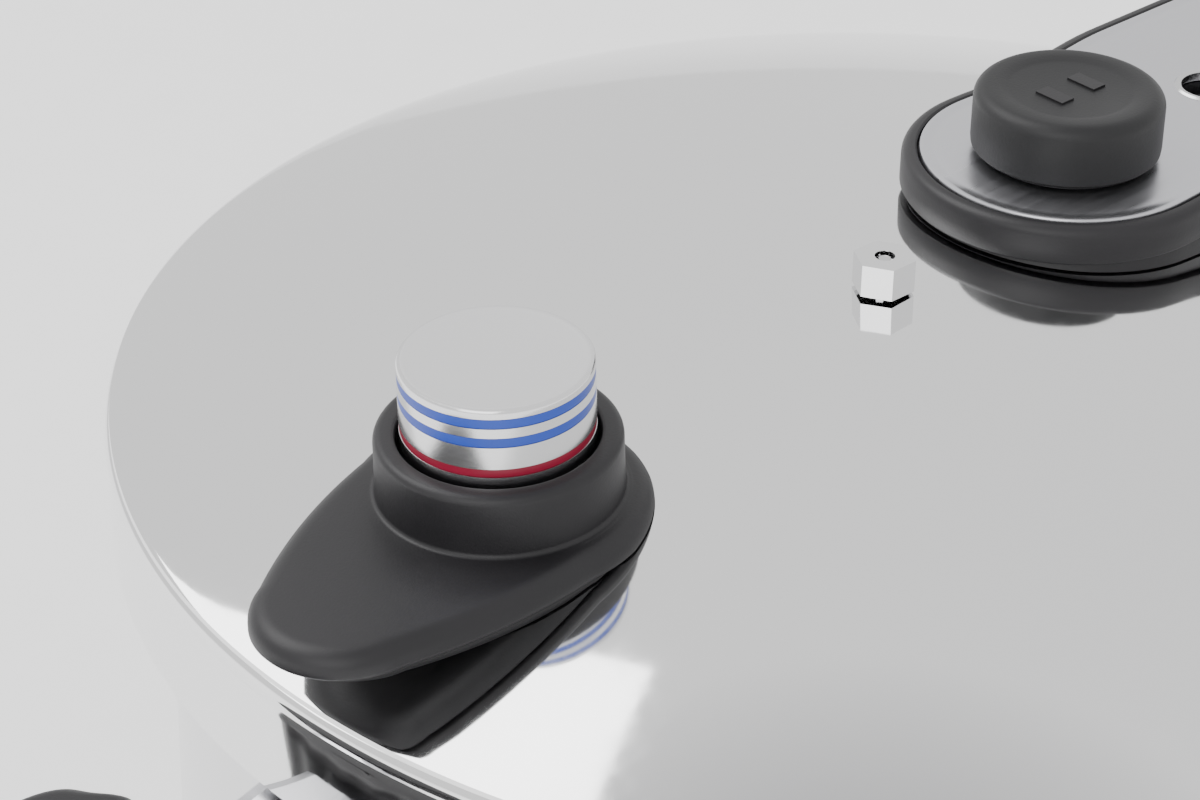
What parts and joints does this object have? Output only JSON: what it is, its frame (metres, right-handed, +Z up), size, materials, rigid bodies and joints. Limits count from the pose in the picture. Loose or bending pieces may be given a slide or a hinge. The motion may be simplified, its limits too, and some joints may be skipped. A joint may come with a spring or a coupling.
{
  "type": "stovetop pressure cooker",
  "caption": "Polished steel stovetop pressure cooker with bayonet lid, raised pressure indicator, selector knob, long two-part handle and helper grip.",
  "frame": {"origin": "centre of the underside of the pot's base, on the pot's axis", "axes": "+Z up along the pot's axis, +X along the long handle, +Y to its left seen from above"},
  "size_m": [0.448, 0.2398, 0.2041],
  "materials": {
    "polished_steel": "mirror polished stainless steel with fine wiping marks",
    "satin_steel": "satin stainless steel",
    "satin_aluminium": "fine satin turned aluminium",
    "black_plastic": "fine-grained matte black phenolic",
    "grey_silicone": "matte silicone",
    "raw_aluminium": "raw rolled aluminium"
  },
  "bodies": {
    "pot": {"pot_body": "polished_steel", "base_cap": "satin_steel", "base_core": "raw_aluminium", "pot_handle_ferrule": "satin_steel", "pot_handle_grip": "black_plastic", "pot_handle_screw": "satin_steel", "helper_ferrule": "satin_steel", "helper_grip": "black_plastic", "helper_screw": "satin_steel"},
    "gasket": {"sealing_gasket": "grey_silicone"},
    "lid": {"lid_shell": "polished_steel", "housing_upper_shell": "black_plastic", "housing_lower_shell": "black_plastic", "valve_sleeve": "satin_steel", "valve_seal": "grey_silicone", "valve_nut": "satin_steel", "safety_valve_body": "polished_steel", "safety_seal": "grey_silicone", "safety_nut": "satin_steel", "handle_bolt": "satin_steel", "bolt_seal": "grey_silicone", "rim_bracket": "satin_steel", "handle_lower_shell": "black_plastic", "handle_upper_shell": "black_plastic", "handle_top_plate": "satin_steel", "handle_screw": "satin_steel", "indicator_spring": "satin_steel", "safety_spring": "satin_steel", "lock_spring": "satin_steel"},
    "indicator": {"indicator_button": "satin_aluminium", "indicator_stem": "satin_steel", "indicator_seal": "grey_silicone"},
    "selector": {"selector_knob": "black_plastic", "selector_spindle": "satin_steel", "spindle_clip": "satin_steel"},
    "safety": {"safety_plunger": "satin_steel"},
    "lock": {"lock_slider": "black_plastic"}
  },
  "joints": [
    {"name": "lid_lift", "type": "slide", "parent": "pot", "child": "gasket", "axis": [0, 0, 1], "range_m": [0, 0.12]},
    {"name": "lid_turn", "type": "hinge", "parent": "gasket", "child": "lid", "pos_m": [0, 0, 0.165], "axis": [0, 0, 1], "range_deg": [-35, 0]},
    {"name": "indicator_rise", "type": "slide", "parent": "lid", "child": "indicator", "axis": [-0.048, 0, 0.9988], "range_m": [-0.009, 0], "stiffness_N_per_m": 80, "springref_m": 0.004, "deforming": ["indicator_spring"]},
    {"name": "selector_turn", "type": "hinge", "parent": "lid", "child": "selector", "pos_m": [0.03, 0, 0.19], "axis": [0, 0, 1], "range_deg": [-60, 60]},
    {"name": "safety_lift", "type": "slide", "parent": "lid", "child": "safety", "axis": [0, 0, 1], "range_m": [0, 0.0012], "stiffness_N_per_m": 400, "springref_m": -0.002, "deforming": ["safety_spring"]},
    {"name": "lock_slide", "type": "slide", "parent": "lid", "child": "lock", "axis": [1, 0, 0], "range_m": [0, 0.008], "stiffness_N_per_m": 150, "springref_m": -0.004, "deforming": ["lock_spring"]}
  ]
}
